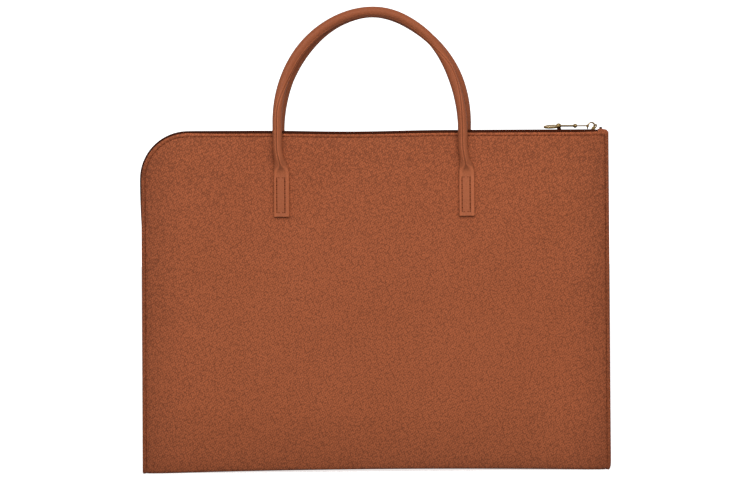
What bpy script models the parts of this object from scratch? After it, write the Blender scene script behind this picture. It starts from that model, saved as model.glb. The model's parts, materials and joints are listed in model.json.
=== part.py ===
"""A slim leather document case with a zip over the top and one side, and two rolled handles.

Metres, +Z up. The case stands on its folded base, the front faces -Y, and the origin is under the
middle of the base.
"""

from math import cos, pi, radians, sin, sqrt

import bmesh
import bpy
from mathutils import Vector

# Leather case
PANEL_WIDTH = 0.3780
PANEL_HEIGHT = 0.2742
CORNER_RADIUS = 0.0372
BASE_DEPTH = 0.0240
TOP_DEPTH = 0.0176
PANEL_BULGE = 0.0035
FOLD_RADIUS = 0.0035
FOOT_LENGTH = 0.0175
BASE_ARCH = 0.0019
TOP_DIP = 0.0010
TOP_DIP_X = -0.0180
TOP_DIP_LENGTH = 0.1500
LEATHER = 0.0018
GUSSET_LEATHER = 0.0014
GUSSET_RECESS = 0.0008
GUSSET_FLANGE = 0.0080
SEAM_GAP = 0.0003

# Zip
ZIP_LEFT_END_Z = 0.1860
ZIP_END_FROM_SIDE = 0.0090
ZIP_RISE = 0.0019
ZIP_END_SINK = 0.0006
TAPE = 0.0008
TAPE_FLANGE = 0.0070
CHAIN_WIDTH = 0.0055
CHAIN_THICKNESS = 0.0015
CHAIN_DEPTH = 0.00235
COVER_LENGTH = 0.0084
COVER_ARCH = 0.0010
COVER_DROP = 0.0005
STOP_SIZE = 0.0022
STOP_HEIGHT = 0.0017

# Slider and puller
SLIDER_LENGTH = 0.0085
SLIDER_WIDTH = 0.0064
SLIDER_PLATE = 0.0009
NECK_LENGTH = 0.0027
LUG_WIDTH = 0.0020
LUG_RADIUS = 0.0015
PIVOT_FROM_SLIDER_END = 0.0003
PIVOT_HEIGHT = 0.0049
WIRE = 0.0009
HINGE_CLEARANCE = 0.0003
STIRRUP_LENGTH = 0.0071
STIRRUP_RISE = 0.0029
PRONG_LENGTH = 0.0026
ROD = 0.0012
ROD_LENGTH = 0.0229
BEAD = 0.0036
BEAD_AT = 0.0095
BALL = 0.0044
TAB_LENGTH = 0.0138
TAB_WIDTH = 0.0090
TAB_THICKNESS = 0.0018
TAB_TILT = 12.0

# Handles
HANDLE_SPREAD = 0.1504
HANDLE_X = -0.0008
HANDLE_TOP_Z = 0.3762
ARC_START_Z = 0.2790
TUBE = 0.0078
SEWN_BOTTOM_Z = 0.2062
SEWN_LENGTH = 0.0334
SEWN_WIDTH = 0.0125
SEWN_THICKNESS = 0.0024
NECKING = 0.0160
FRONT_LEG_SWAY = -0.0027
BACK_LEG_SWAY = -0.0003
ARC_SWAY = 0.0008
APEX_SWAY = -0.0006
BACK_TOP_DROP = 0.0008
HANDLES_APART = 0.0012

# How finely the curved shapes are cut
CORNER_STEPS = 8
MIDDLE_STEPS = 10
PANEL_ROWS = 12
FOLD_STEPS = 4
TOP_STEPS = 12
SIDE_STEPS = 6
TUBE_SIDES = 16
ARC_STEPS = 24

HALF_WIDTH = PANEL_WIDTH / 2
CORNER_X = CORNER_RADIUS - HALF_WIDTH
CORNER_Z = PANEL_HEIGHT - CORNER_RADIUS
ZIP_RIGHT_END_X = HALF_WIDTH - ZIP_END_FROM_SIDE

PARTS = "leather_document_case"
HELPERS = "cutters"


def clear_scene():
    for old in list(bpy.data.objects):
        bpy.data.objects.remove(old, do_unlink=True)


def collection(name):
    found = bpy.data.collections.get(name)
    if found is None:
        found = bpy.data.collections.new(name)
        bpy.context.scene.collection.children.link(found)
    return found


def material(name, color, roughness, metallic=0.0):
    made = bpy.data.materials.new(name)
    made.use_nodes = True
    shader = made.node_tree.nodes["Principled BSDF"]
    shader.inputs["Base Color"].default_value = (*color, 1.0)
    shader.inputs["Roughness"].default_value = roughness
    shader.inputs["Metallic"].default_value = metallic
    return made


def make_object(name, mesh, finish=None, at=(0.0, 0.0, 0.0)):
    """A node of the case if it has a finish, or else a helper that only shapes another node."""
    made = bpy.data.objects.new(name, mesh)
    made.location = at
    if finish is None:
        collection(HELPERS).objects.link(made)
        made.hide_render = True
        made.display_type = "WIRE"
    else:
        collection(PARTS).objects.link(made)
        mesh.materials.append(finish)
    return made


def smooth(share):
    share = min(max(share, 0.0), 1.0)
    return share * share * (3 - 2 * share)


def blend(start, end, share):
    return start + (end - start) * share


def grid_mesh(name, columns, rows, place, turned_over=False):
    """An open sheet whose point in column i and row j lies at place(i, j)."""
    bm = bmesh.new()
    bmesh.ops.create_grid(bm, x_segments=columns, y_segments=rows, size=0.5)
    for vert in bm.verts:
        column = round((vert.co.x + 0.5) * columns)
        row = round((vert.co.y + 0.5) * rows)
        vert.co = place(column, row)
    if turned_over:
        bmesh.ops.reverse_faces(bm, faces=bm.faces)
    mesh = bpy.data.meshes.new(name)
    bm.to_mesh(mesh)
    bm.free()
    mesh.shade_smooth()
    mesh.set_sharp_from_angle(angle=radians(40))
    return mesh


def thicken(obj, thickness, offset=-1.0):
    wall = obj.modifiers.new("wall", "SOLIDIFY")
    wall.thickness = thickness
    wall.offset = offset
    wall.use_even_offset = True


def unite(obj, *helpers):
    for helper in helpers:
        union = obj.modifiers.new("with " + helper.name, "BOOLEAN")
        union.operation = "UNION"
        union.object = helper


# The shape of the case: every piece that is sewn to it reads these functions


def base_z(x):
    """The folded base lifts a little between its two feet."""
    span = HALF_WIDTH - FOOT_LENGTH
    return BASE_ARCH * max(0.0, 1 - (x / span) ** 2)


def top_z(x):
    """The leather's upper edge: round at the left corner, slack in the middle."""
    if x < CORNER_X:
        return CORNER_Z + sqrt(max(0.0, CORNER_RADIUS**2 - (x - CORNER_X) ** 2))
    away = min(1.0, abs(x - TOP_DIP_X) / (TOP_DIP_LENGTH / 2))
    return PANEL_HEIGHT - TOP_DIP * (1 + cos(pi * away)) / 2


def edge_half(z):
    """Half the depth of the case at its rim, from the base to the top."""
    return blend(BASE_DEPTH, TOP_DEPTH, z / PANEL_HEIGHT) / 2


def bulge(x, share):
    """How far a panel stands out of its rim, at a share of its height above the fold."""
    across = 1 - min(1.0, abs(x) / HALF_WIDTH) ** 5
    return PANEL_BULGE * across * sin(pi * min(max(share, 0.0), 1.0)) ** 0.6


def half_depth(x, z):
    low = FOLD_RADIUS + base_z(x)
    return edge_half(z) + bulge(x, (z - low) / (top_z(x) - low))


def inner_half(z):
    """Half the room between the leather walls at the two ends of the case."""
    if z >= FOLD_RADIUS:
        return edge_half(z) - LEATHER
    inner_radius = FOLD_RADIUS - LEATHER
    flat = edge_half(FOLD_RADIUS) - FOLD_RADIUS
    return flat + sqrt(max(0.0, inner_radius**2 - (FOLD_RADIUS - z) ** 2))


def column_places():
    """Close together near both ends, where the panels curve to their rims."""
    turns = [CORNER_RADIUS * (1 - cos(pi / 2 * i / CORNER_STEPS)) for i in range(CORNER_STEPS)]
    left = [-HALF_WIDTH + turn for turn in turns]
    right = [HALF_WIDTH - turn for turn in reversed(turns)]
    middle = [blend(CORNER_X, -CORNER_X, i / MIDDLE_STEPS) for i in range(MIDDLE_STEPS + 1)]
    return left + middle + right


def section_places(x):
    """The (y, z) of the sheet's outer face at x, from the front's top edge under the base to the back's."""
    low = FOLD_RADIUS + base_z(x)
    high = top_z(x)
    panel = []
    for row in range(PANEL_ROWS + 1):
        share = (1 - cos(pi * row / PANEL_ROWS)) / 2
        z = blend(high, low, share)
        panel.append((edge_half(z) + bulge(x, 1 - share), z))
    flat = panel[-1][0] - FOLD_RADIUS
    for step in range(1, FOLD_STEPS + 1):
        turn = pi / 2 * step / FOLD_STEPS
        panel.append((flat + FOLD_RADIUS * cos(turn), low - FOLD_RADIUS * sin(turn)))
    front = [(-y, z) for y, z in panel]
    back = list(reversed(panel))
    return front + back


def make_leather_body(leather):
    columns = column_places()
    sections = [section_places(x) for x in columns]

    def place(column, row):
        y, z = sections[column][row]
        return Vector((columns[column], y, z))

    mesh = grid_mesh("leather_body", len(columns) - 1, len(sections[0]) - 1, place, turned_over=True)
    thicken(make_object("leather_body", mesh, leather), LEATHER)


def gusset_heights(top):
    low = LEATHER + SEAM_GAP
    fold = [low, (low + FOLD_RADIUS) / 2, FOLD_RADIUS]
    side = [blend(FOLD_RADIUS, top, step / SIDE_STEPS) for step in range(1, SIDE_STEPS + 1)]
    return fold + side


def make_gusset(name, side, top, leather):
    """A strip with both edges turned in behind the panels. side is -1 at the left, 1 at the right."""
    heights = gusset_heights(top)
    web = HALF_WIDTH - GUSSET_RECESS
    flange = HALF_WIDTH - GUSSET_FLANGE
    bend = GUSSET_LEATHER

    def place(column, row):
        z = heights[row]
        half = inner_half(z) - SEAM_GAP
        outline = [(flange, -half), (web - bend, -half), (web, bend - half), (web, 0.0)]
        outline += [(x, -y) for x, y in reversed(outline[:-1])]
        x, y = outline[column]
        return Vector((side * x, y, z))

    mesh = grid_mesh(name, 6, len(heights) - 1, place, turned_over=side < 0)
    thicken(make_object(name, mesh, leather), GUSSET_LEATHER)


def zip_stations():
    """Along the leather's edge from the right end, over the corner and down the left side.

    Each is (x, z, outward x, outward z, height of the tape's crest over the edge).
    """
    stations = []
    for step in range(TOP_STEPS + 1):
        x = blend(ZIP_RIGHT_END_X, CORNER_X, step / TOP_STEPS)
        stations.append((x, top_z(x), 0.0, 1.0, ZIP_RISE))
    for step in range(1, CORNER_STEPS + 1):
        turn = pi / 2 * step / CORNER_STEPS
        out_x, out_z = -sin(turn), cos(turn)
        x = CORNER_X + CORNER_RADIUS * out_x
        z = CORNER_Z + CORNER_RADIUS * out_z
        rise = ZIP_RISE * (1 - 0.3 * step / CORNER_STEPS)
        stations.append((x, z, out_x, out_z, rise))
    end_z = ZIP_LEFT_END_Z + SEAM_GAP
    for step in range(1, SIDE_STEPS + 1):
        share = step / SIDE_STEPS
        rise = blend(0.7 * ZIP_RISE, -ZIP_END_SINK, share**2)
        stations.append((-HALF_WIDTH, blend(CORNER_Z, end_z, share), -1.0, 0.0, rise))
    return stations


def on_zip(station, y, height):
    x, z, out_x, out_z, _ = station
    return Vector((x + out_x * height, y, z + out_z * height))


def make_zip_tape(name, side, cloth):
    """Sewn behind the leather, arched out over its edge and sunk again towards the teeth."""
    stations = zip_stations()
    chain_half = CHAIN_WIDTH / 2 + SEAM_GAP

    def place(column, row):
        station = stations[row]
        rise = station[4] - TAPE / 2
        flange = inner_half(station[1]) - SEAM_GAP - TAPE / 2
        level = station[4] - CHAIN_DEPTH
        outline = (
            (flange, -TAPE_FLANGE),
            (flange, blend(level, rise, 0.5)),
            (blend(flange, chain_half, 0.08), blend(level, rise, 0.8)),
            (blend(flange, chain_half, 0.25), rise),
            (blend(flange, chain_half, 0.55), blend(level, rise, 0.75)),
            (chain_half, level),
        )
        half, height = outline[column]
        return on_zip(station, side * half, height)

    mesh = grid_mesh(name, 5, len(stations) - 1, place, turned_over=side > 0)
    thicken(make_object(name, mesh, cloth), TAPE, offset=0.0)


def make_zip_chain(metal):
    """The closed row of teeth, as a plain ribbon that ends inside the slider."""
    stations = zip_stations()
    _, *right_end = stations[0]
    end_x = ZIP_RIGHT_END_X - NECK_LENGTH - 3 * SEAM_GAP - SLIDER_PLATE
    stations[0] = (end_x, *right_end)

    def place(column, row):
        station = stations[row]
        return on_zip(station, (column - 1) * CHAIN_WIDTH / 2, station[4] - CHAIN_DEPTH)

    mesh = grid_mesh("zip_chain", 2, len(stations) - 1, place, turned_over=True)
    thicken(make_object("zip_chain", mesh, metal), CHAIN_THICKNESS, offset=0.0)


def under_cover_z():
    """The top of the right gusset, just under the lowest part of the cap."""
    return PANEL_HEIGHT + ZIP_RISE - COVER_ARCH - COVER_DROP - GUSSET_LEATHER - SEAM_GAP


def make_zip_end_cover(leather):
    """A leather cap between the panels, over the end of the zip and the top of the right gusset."""
    across = 6
    along = 4
    half = inner_half(PANEL_HEIGHT) - SEAM_GAP
    start = ZIP_RIGHT_END_X + SEAM_GAP

    def place(column, row):
        x = start + COVER_LENGTH * column / along
        share = row / across
        arched = COVER_ARCH * (sin(pi * share) - 1) - COVER_DROP * (column / along) ** 4
        return Vector((x, blend(-half, half, share), PANEL_HEIGHT + ZIP_RISE + arched))

    mesh = grid_mesh("zip_end_cover", along, across, place)
    thicken(make_object("zip_end_cover", mesh, leather), GUSSET_LEATHER)


def box(name, size, at, finish=None):
    bm = bmesh.new()
    bmesh.ops.create_cube(bm, size=1.0)
    bmesh.ops.scale(bm, vec=size, verts=bm.verts)
    mesh = bpy.data.meshes.new(name)
    bm.to_mesh(mesh)
    bm.free()
    return make_object(name, mesh, finish, at)


def make_zip_end_stop(metal):
    x = ZIP_RIGHT_END_X + SEAM_GAP + 0.4 * COVER_LENGTH
    z = PANEL_HEIGHT + ZIP_RISE + SEAM_GAP + STOP_HEIGHT / 2
    stop = box("zip_end_stop", (STOP_SIZE, STOP_SIZE, STOP_HEIGHT), (x, 0.0, z), metal)
    edges = stop.modifiers.new("rounded edges", "BEVEL")
    edges.width = STOP_SIZE / 5
    edges.segments = 2


def flat_piece(name, outlines, width, finish=None, at=(0.0, 0.0, 0.0)):
    """A plate in the XZ plane, cut from closed outlines of (x, z), the first being its outside."""
    curve = bpy.data.curves.new(name, "CURVE")
    curve.dimensions = "2D"
    curve.fill_mode = "BOTH"
    curve.extrude = width / 2
    for outline in outlines:
        spline = curve.splines.new("POLY")
        spline.points.add(len(outline) - 1)
        for point, (x, z) in zip(spline.points, outline):
            point.co = (x, z, 0.0, 1.0)
        spline.use_cyclic_u = True
    drawn = bpy.data.objects.new(name + "_outline", curve)
    collection(HELPERS).objects.link(drawn)
    drawn.rotation_euler = (pi / 2, 0.0, 0.0)
    return curve_to_mesh(drawn, name, finish, at)


def curve_to_mesh(drawn, name, finish=None, at=(0.0, 0.0, 0.0)):
    """The curve's solid as a mesh with welded caps, in the place of the curve."""
    bpy.context.view_layer.update()
    graph = bpy.context.evaluated_depsgraph_get()
    mesh = bpy.data.meshes.new_from_object(drawn.evaluated_get(graph))
    mesh.transform(drawn.matrix_world)
    bpy.data.objects.remove(drawn, do_unlink=True)
    bm = bmesh.new()
    bm.from_mesh(mesh)
    bmesh.ops.remove_doubles(bm, verts=bm.verts, dist=1e-6)
    bmesh.ops.recalc_face_normals(bm, faces=bm.faces)
    bm.to_mesh(mesh)
    bm.free()
    mesh.name = name
    return make_object(name, mesh, finish, at)


def circle_points(center, radius, start, end, steps):
    """Points on a circle from one angle to another, in degrees, counted from +X towards +Z."""
    angles = [radians(blend(start, end, step / steps)) for step in range(steps + 1)]
    return [(center[0] + radius * cos(a), center[1] + radius * sin(a)) for a in angles]


def slider_right_x():
    return ZIP_RIGHT_END_X - SEAM_GAP


def pivot_place():
    """The axis that the puller turns on, in the slider's lug."""
    return Vector((slider_right_x() - PIVOT_FROM_SLIDER_END, 0.0, PANEL_HEIGHT + PIVOT_HEIGHT))


def make_slider(gold):
    """Two plates over and under the teeth, joined by a neck, with a lug that leans up to the pivot."""
    right = slider_right_x()
    left = right - SLIDER_LENGTH
    neck = right - SLIDER_PLATE
    level = PANEL_HEIGHT + ZIP_RISE - CHAIN_DEPTH
    inside = CHAIN_THICKNESS / 2 + SEAM_GAP
    outside = inside + SLIDER_PLATE
    middle = (left + right) / 2
    plate = (SLIDER_LENGTH, SLIDER_WIDTH, SLIDER_PLATE)
    plate_level = (inside + outside) / 2
    slider = box("slider", plate, (middle, 0.0, level + plate_level), gold)
    lower = box("slider_lower", plate, (middle, 0.0, level - plate_level))
    neck_size = (NECK_LENGTH, LUG_WIDTH, 2 * plate_level)
    unite(slider, lower, box("slider_neck", neck_size, (neck - NECK_LENGTH / 2, 0.0, level)))
    pivot = pivot_place()
    center = (pivot.x, pivot.z)
    foot_z = level + outside - SLIDER_PLATE / 2
    foot_x = right - 0.55 * SLIDER_LENGTH
    end = circle_points(center, LUG_RADIUS, -50, 140, 10)
    lug_outline = [(foot_x, foot_z), (foot_x + 2 * LUG_RADIUS, foot_z), *end]
    hole = circle_points(center, WIRE / 2 + HINGE_CLEARANCE, 0, 330, 11)
    unite(slider, flat_piece("slider_lug", [lug_outline, hole], LUG_WIDTH))


def make_puller(gold):
    """A bent wire stirrup hinged in the lug, a turned rod with a bead and a ball, and an oval tab.

    The helpers are placed as the pivot is, and the rod runs towards -X from the stirrup's far side.
    """
    pivot = pivot_place()
    cheek = LUG_WIDTH / 2 + HINGE_CLEARANCE + WIRE / 2
    arch_steps = 6
    arch = []
    for step in range(arch_steps + 1):
        share = step / arch_steps
        arch.append((-STIRRUP_LENGTH * share, STIRRUP_RISE * sin(pi * share)))
    route = [(x, -cheek, z) for x, z in arch] + [(x, cheek, z) for x, z in reversed(arch)]
    wire = bpy.data.curves.new("stirrup", "CURVE")
    wire.dimensions = "3D"
    wire.bevel_depth = WIRE / 2
    wire.bevel_resolution = 2
    spline = wire.splines.new("POLY")
    spline.points.add(len(route) - 1)
    for point, place in zip(spline.points, route):
        point.co = (*place, 1.0)
    spline.use_cyclic_u = True
    drawn = bpy.data.objects.new("stirrup", wire)
    collection(HELPERS).objects.link(drawn)
    puller = curve_to_mesh(drawn, "puller", gold, at=pivot)

    start = pivot + Vector((-STIRRUP_LENGTH, 0.0, 0.0))
    rod = turned_piece("puller_rod", rod_profile())
    rod.location = start
    rod.rotation_euler = (0.0, radians(-90), 0.0)

    tab = ellipsoid("puller_tab", (TAB_LENGTH, TAB_WIDTH, TAB_THICKNESS))
    tab.location = start + Vector((-ROD_LENGTH - TAB_LENGTH / 2 + BALL / 3, 0.0, -TAB_THICKNESS / 3))
    tab.rotation_euler = (radians(TAB_TILT), 0.0, 0.0)

    prong = turned_piece("puller_prong", [(0.0, 0.0), (WIRE / 2, 0.0), (WIRE / 2, PRONG_LENGTH), (0.0, PRONG_LENGTH)])
    prong.location = start
    prong.rotation_euler = (pi, 0.0, 0.0)
    unite(puller, rod, tab, prong)


def rod_profile():
    """The (radius, length) of the turned rod, from inside the stirrup's bar to the ball."""
    profile = [(0.0, 0.0), (ROD / 2, 0.0)]
    for center, size in ((BEAD_AT, BEAD), (ROD_LENGTH, BALL)):
        # The ball of this size meets the rod at this angle from the axis
        shoulder = ROD / size
        steps = 6
        for step in range(steps + 1):
            turn = blend(pi - shoulder, shoulder if size == BEAD else 0.0, step / steps)
            radius = size / 2 * sin(turn) if turn > 0 else 0.0
            profile.append((radius, center + size / 2 * cos(turn)))
    return profile


def turned_piece(name, profile):
    """A helper turned about its own Z from a (radius, length) profile that starts and ends on the axis."""
    bm = bmesh.new()
    verts = [bm.verts.new((radius, 0.0, length)) for radius, length in reversed(profile)]
    for first, second in zip(verts, verts[1:]):
        bm.edges.new((first, second))
    mesh = bpy.data.meshes.new(name)
    bm.to_mesh(mesh)
    bm.free()
    made = make_object(name, mesh)
    turn = made.modifiers.new("turned", "SCREW")
    turn.axis = "Z"
    turn.steps = 12
    turn.render_steps = 12
    turn.use_merge_vertices = True
    turn.merge_threshold = 1e-5
    return made


def ellipsoid(name, size):
    bm = bmesh.new()
    bmesh.ops.create_uvsphere(bm, u_segments=16, v_segments=8, radius=0.5)
    bmesh.ops.scale(bm, vec=size, verts=bm.verts)
    mesh = bpy.data.meshes.new(name)
    bm.to_mesh(mesh)
    bm.free()
    return make_object(name, mesh)


def leg_section(z):
    """How round the strap is at this height: (share of round, half width, half thickness)."""
    share = smooth((z - SEWN_BOTTOM_Z - SEWN_LENGTH) / NECKING)
    return share, blend(SEWN_WIDTH, TUBE, share) / 2, blend(SEWN_THICKNESS, TUBE, share) / 2


def handle_x(z, leg_sway, arc_sway):
    """The middle between the two legs at this height: soft handles lean a little aside."""
    sewn_top = SEWN_BOTTOM_Z + SEWN_LENGTH
    legs = leg_sway * smooth((z - sewn_top) / (1.5 * NECKING))
    over_arc = max(0.0, (z - ARC_START_Z) / (HANDLE_TOP_Z - TUBE / 2 - ARC_START_Z))
    return HANDLE_X + blend(legs, APEX_SWAY, over_arc**3) + arc_sway * sin(pi * over_arc)


def handle_y(x, z):
    """How far the strap's middle stands off the case's middle plane."""
    round_z = SEWN_BOTTOM_Z + SEWN_LENGTH + NECKING
    apex_z = HANDLE_TOP_Z - TUBE / 2
    apex_y = (TUBE + HANDLES_APART) / 2
    seated_z = min(z, round_z)
    seated = half_depth(x, seated_z) + SEAM_GAP + leg_section(seated_z)[2]
    return blend(seated, apex_y, max(0.0, (z - round_z) / (apex_z - round_z)))


def handle_route(front):
    """(place, half width, half thickness, roundness) of each section, from one sewn end to the other."""
    side = -1 if front else 1
    leg_sway = FRONT_LEG_SWAY if front else BACK_LEG_SWAY
    apex_z = HANDLE_TOP_Z - TUBE / 2 - (0.0 if front else BACK_TOP_DROP)
    half = HANDLE_SPREAD / 2
    sewn_top = SEWN_BOTTOM_Z + SEWN_LENGTH
    round_z = sewn_top + NECKING
    leg = [blend(SEWN_BOTTOM_Z, sewn_top, step / 3) for step in range(4)]
    leg += [blend(sewn_top, round_z, step / 5) for step in range(1, 6)]
    leg += [blend(round_z, ARC_START_Z, step / 3) for step in range(1, 3)]
    arc = [(cos(pi * step / ARC_STEPS), sin(pi * step / ARC_STEPS)) for step in range(ARC_STEPS, -1, -1)]
    places = [(-half, z) for z in leg]
    places += [(half * across, blend(ARC_START_Z, apex_z, up)) for across, up in arc]
    places += [(half, z) for z in reversed(leg)]
    route = []
    for across, z in places:
        x = handle_x(z, leg_sway, side * ARC_SWAY) + across
        share, half_width, half_thickness = leg_section(z)
        route.append((Vector((x, side * handle_y(x, z), z)), half_width, half_thickness, share))
    return route


def make_handle(name, front, leather):
    """A rolled leather tube, flattened at both ends: a loft through its sections."""
    route = handle_route(front)
    rings = []
    for index, (place, half_width, half_thickness, share) in enumerate(route):
        before = route[max(index - 1, 0)][0]
        after = route[min(index + 1, len(route) - 1)][0]
        along = (after - before).normalized()
        across = Vector((0.0, 1.0, 0.0)).cross(along).normalized()
        through = along.cross(across)
        power = blend(0.3, 1.0, share)
        ring = []
        for step in range(TUBE_SIDES):
            turn = 2 * pi * (step + 0.5) / TUBE_SIDES
            wide = half_width * abs(cos(turn)) ** power * (1 if cos(turn) > 0 else -1)
            thick = half_thickness * abs(sin(turn)) ** power * (1 if sin(turn) > 0 else -1)
            ring.append(place + across * wide + through * thick)
        rings.append(ring)

    def place_point(column, row):
        return rings[row][column % TUBE_SIDES]

    mesh = grid_mesh(name, TUBE_SIDES, len(rings) - 1, place_point)
    bm = bmesh.new()
    bm.from_mesh(mesh)
    bmesh.ops.remove_doubles(bm, verts=bm.verts, dist=1e-6)
    bmesh.ops.holes_fill(bm, edges=[edge for edge in bm.edges if edge.is_boundary])
    bmesh.ops.recalc_face_normals(bm, faces=bm.faces)
    bm.to_mesh(mesh)
    bm.free()
    make_object(name, mesh, leather)


def main():
    clear_scene()
    leather = material("tan leather", (0.314, 0.087, 0.037), 0.55)
    cloth = material("dark zip tape", (0.045, 0.012, 0.006), 0.85)
    teeth = material("dark zip teeth", (0.060, 0.022, 0.012), 0.45, 0.8)
    gold = material("gold", (0.83, 0.62, 0.30), 0.18, 1.0)
    make_leather_body(leather)
    make_gusset("left_gusset", -1, ZIP_LEFT_END_Z, leather)
    make_gusset("right_gusset", 1, under_cover_z(), leather)
    make_zip_tape("zip_tape_front", -1, cloth)
    make_zip_tape("zip_tape_back", 1, cloth)
    make_zip_chain(teeth)
    make_zip_end_cover(leather)
    make_zip_end_stop(teeth)
    make_slider(gold)
    make_puller(gold)
    make_handle("front_handle", True, leather)
    make_handle("back_handle", False, leather)


main()
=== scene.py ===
"""The looks of a slim tan document case with a zip and two rolled handles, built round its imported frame.

Metres, +Z up, the front faces -Y. The sections follow the case as it is put together: the leather sheet and
its stitches, the side strips, the zip with its slider and puller, the handles, and last the studio.
"""

import json
from math import atan2, cos, exp, hypot, pi, radians, sin, sqrt

import bmesh
import bpy
from mathutils import Matrix, Vector, noise

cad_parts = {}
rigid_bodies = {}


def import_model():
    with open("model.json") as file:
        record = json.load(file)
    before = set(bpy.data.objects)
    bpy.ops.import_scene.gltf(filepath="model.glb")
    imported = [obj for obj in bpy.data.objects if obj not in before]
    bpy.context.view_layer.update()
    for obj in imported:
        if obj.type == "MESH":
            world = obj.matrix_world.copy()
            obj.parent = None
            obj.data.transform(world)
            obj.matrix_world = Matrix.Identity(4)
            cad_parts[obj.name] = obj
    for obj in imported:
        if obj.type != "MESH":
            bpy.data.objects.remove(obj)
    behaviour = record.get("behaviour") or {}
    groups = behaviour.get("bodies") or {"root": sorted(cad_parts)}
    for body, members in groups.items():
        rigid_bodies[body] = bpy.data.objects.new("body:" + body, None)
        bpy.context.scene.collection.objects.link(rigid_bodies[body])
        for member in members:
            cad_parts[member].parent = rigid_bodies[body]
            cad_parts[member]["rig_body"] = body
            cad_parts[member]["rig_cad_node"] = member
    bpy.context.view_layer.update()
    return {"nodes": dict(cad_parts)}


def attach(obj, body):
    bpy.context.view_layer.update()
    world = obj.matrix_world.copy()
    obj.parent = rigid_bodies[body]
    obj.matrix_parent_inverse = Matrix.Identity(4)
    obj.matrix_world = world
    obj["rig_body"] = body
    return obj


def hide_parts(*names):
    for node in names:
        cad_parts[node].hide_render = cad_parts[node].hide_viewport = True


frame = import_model()

# The leather sheet
# One piece of full-grain cowhide, 1.8 mm thick and pebbled, folded under the base to make the front, the
# base and the back. Its free edges are turned in to a soft round and sewn down in a shallow groove.
PANEL_WIDTH = 0.3780
PANEL_HEIGHT = 0.2742
CORNER_RADIUS = 0.0372
BASE_DEPTH = 0.0240
TOP_DEPTH = 0.0176
PANEL_BULGE = 0.0035
FOLD_RADIUS = 0.0035
FOOT_LENGTH = 0.0175
BASE_ARCH = 0.0019
TOP_DIP = 0.0010
TOP_DIP_X = -0.0180
TOP_DIP_LENGTH = 0.1500
LEATHER = 0.0018
WAVE_HEIGHT = 0.00022
WAVE_LENGTH = 0.060
# The waves fade out towards the sides and the upper edge, and towards the base
WAVE_FADE = 0.03
WAVE_FADE_BASE = 0.05
# Each loop inside the turned edge: how far further in, and how far out of the surface
EDGE_LOOPS = ((0.0008, 0.0), (0.0013, 0.0001), (0.0008, -0.00055), (0.0005, 0.0), (0.0008, 0.00045))
GROOVE_INSET = 0.0032
GROOVE_DEPTH = 0.00045
# The folded corner at the foot of the right side is worn round a little
WORN_CORNER = 0.0012
WORN_HEIGHT = 0.0060
WORN_FROM = 0.9
# Cuts this close beside the upper right corner keep it crisp
CRISP = 0.0006
# The crest of the upper edge sinks this much between the round corner and the cap
EDGE_SINK = 0.0006
SINK_HEIGHT = 0.0026
SINK_BLEND = 0.0022
SINK_END_X = 0.180
SINK_FADE_LEFT = 0.02
SINK_FADE_RIGHT = 0.01
# How squarely the bulge fills the width of the panel and how fast it leaves the fold
BULGE_SQUARENESS = 5
BULGE_RISE = 0.6
# Shares of the height: where the arch of the fold has faded out, and where the dip of the top starts
ARCH_UNTIL = 0.4
DIP_FROM = 0.6
COLUMN_PITCH = 0.0185
COLUMNS_BESIDE = 9
SIDE_COLUMNS = (-0.1755, 0.1755, 0.1815)
ROW_PITCH = 0.0195
ROW_COUNT = 12
FOOT_ROWS = (0.0075, 0.0130)
HEAD_ROWS = (0.2495, 0.2600, 0.2660)
# Light and dark dye, width of a pebble, depth of the grain and roughness
HIDE = ((0.336, 0.089, 0.034), (0.312, 0.081, 0.030), 0.00142, 0.00022, 0.55)

HALF_WIDTH = PANEL_WIDTH / 2
CORNER_X = CORNER_RADIUS - HALF_WIDTH
CORNER_Z = PANEL_HEIGHT - CORNER_RADIUS


def mix(start, end, share):
    return start + (end - start) * share


def smooth(share):
    share = min(max(share, 0.0), 1.0)
    return share * share * (3 - 2 * share)


def base_lift(x):
    """The fold arches between the two feet."""
    return BASE_ARCH * max(0.0, 1 - (x / (HALF_WIDTH - FOOT_LENGTH)) ** 2)


def top_dip(x):
    """The upper edge hangs a little in the middle."""
    away = min(1.0, abs(x - TOP_DIP_X) / (TOP_DIP_LENGTH / 2))
    return TOP_DIP * (1 + cos(pi * away)) / 2


def edge_half(z):
    return mix(BASE_DEPTH, TOP_DEPTH, z / PANEL_HEIGHT) / 2


def upper_edge(x):
    if x < CORNER_X:
        return CORNER_Z + sqrt(max(0.0, CORNER_RADIUS**2 - (x - CORNER_X) ** 2))
    return PANEL_HEIGHT - top_dip(x)


def bulge(x, z):
    """How far the panel stands out of its rim."""
    low = FOLD_RADIUS + base_lift(x)
    share = min(max((z - low) / (upper_edge(x) - low), 0.0), 1.0)
    across = 1 - min(1.0, abs(x) / HALF_WIDTH) ** BULGE_SQUARENESS
    return PANEL_BULGE * across * sin(pi * share) ** BULGE_RISE


def face_y(x, z):
    """The distance of the leather's face from the middle plane of the case."""
    return edge_half(z) + bulge(x, z)


def select_only(piece):
    bpy.ops.object.select_all(action="DESELECT")
    piece.select_set(True)
    bpy.context.view_layer.objects.active = piece


def add_shape(add, name, **values):
    """A new mesh from one of the primitives, selected by itself."""
    bpy.ops.object.select_all(action="DESELECT")
    add(**values)
    bpy.context.object.name = name
    return bpy.context.object


def size_to(piece, size, place=(0.0, 0.0, 0.0)):
    """Gives a new shape of unit size its measures and its place."""
    piece.scale, piece.location = size, place
    bpy.ops.object.transform_apply(location=True, rotation=True, scale=True)


def open_edit(piece, mode="VERT"):
    select_only(piece)
    bpy.ops.object.mode_set(mode="EDIT")
    bpy.ops.mesh.select_mode(type=mode)


def close_edit():
    bpy.ops.object.mode_set(mode="OBJECT")


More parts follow.
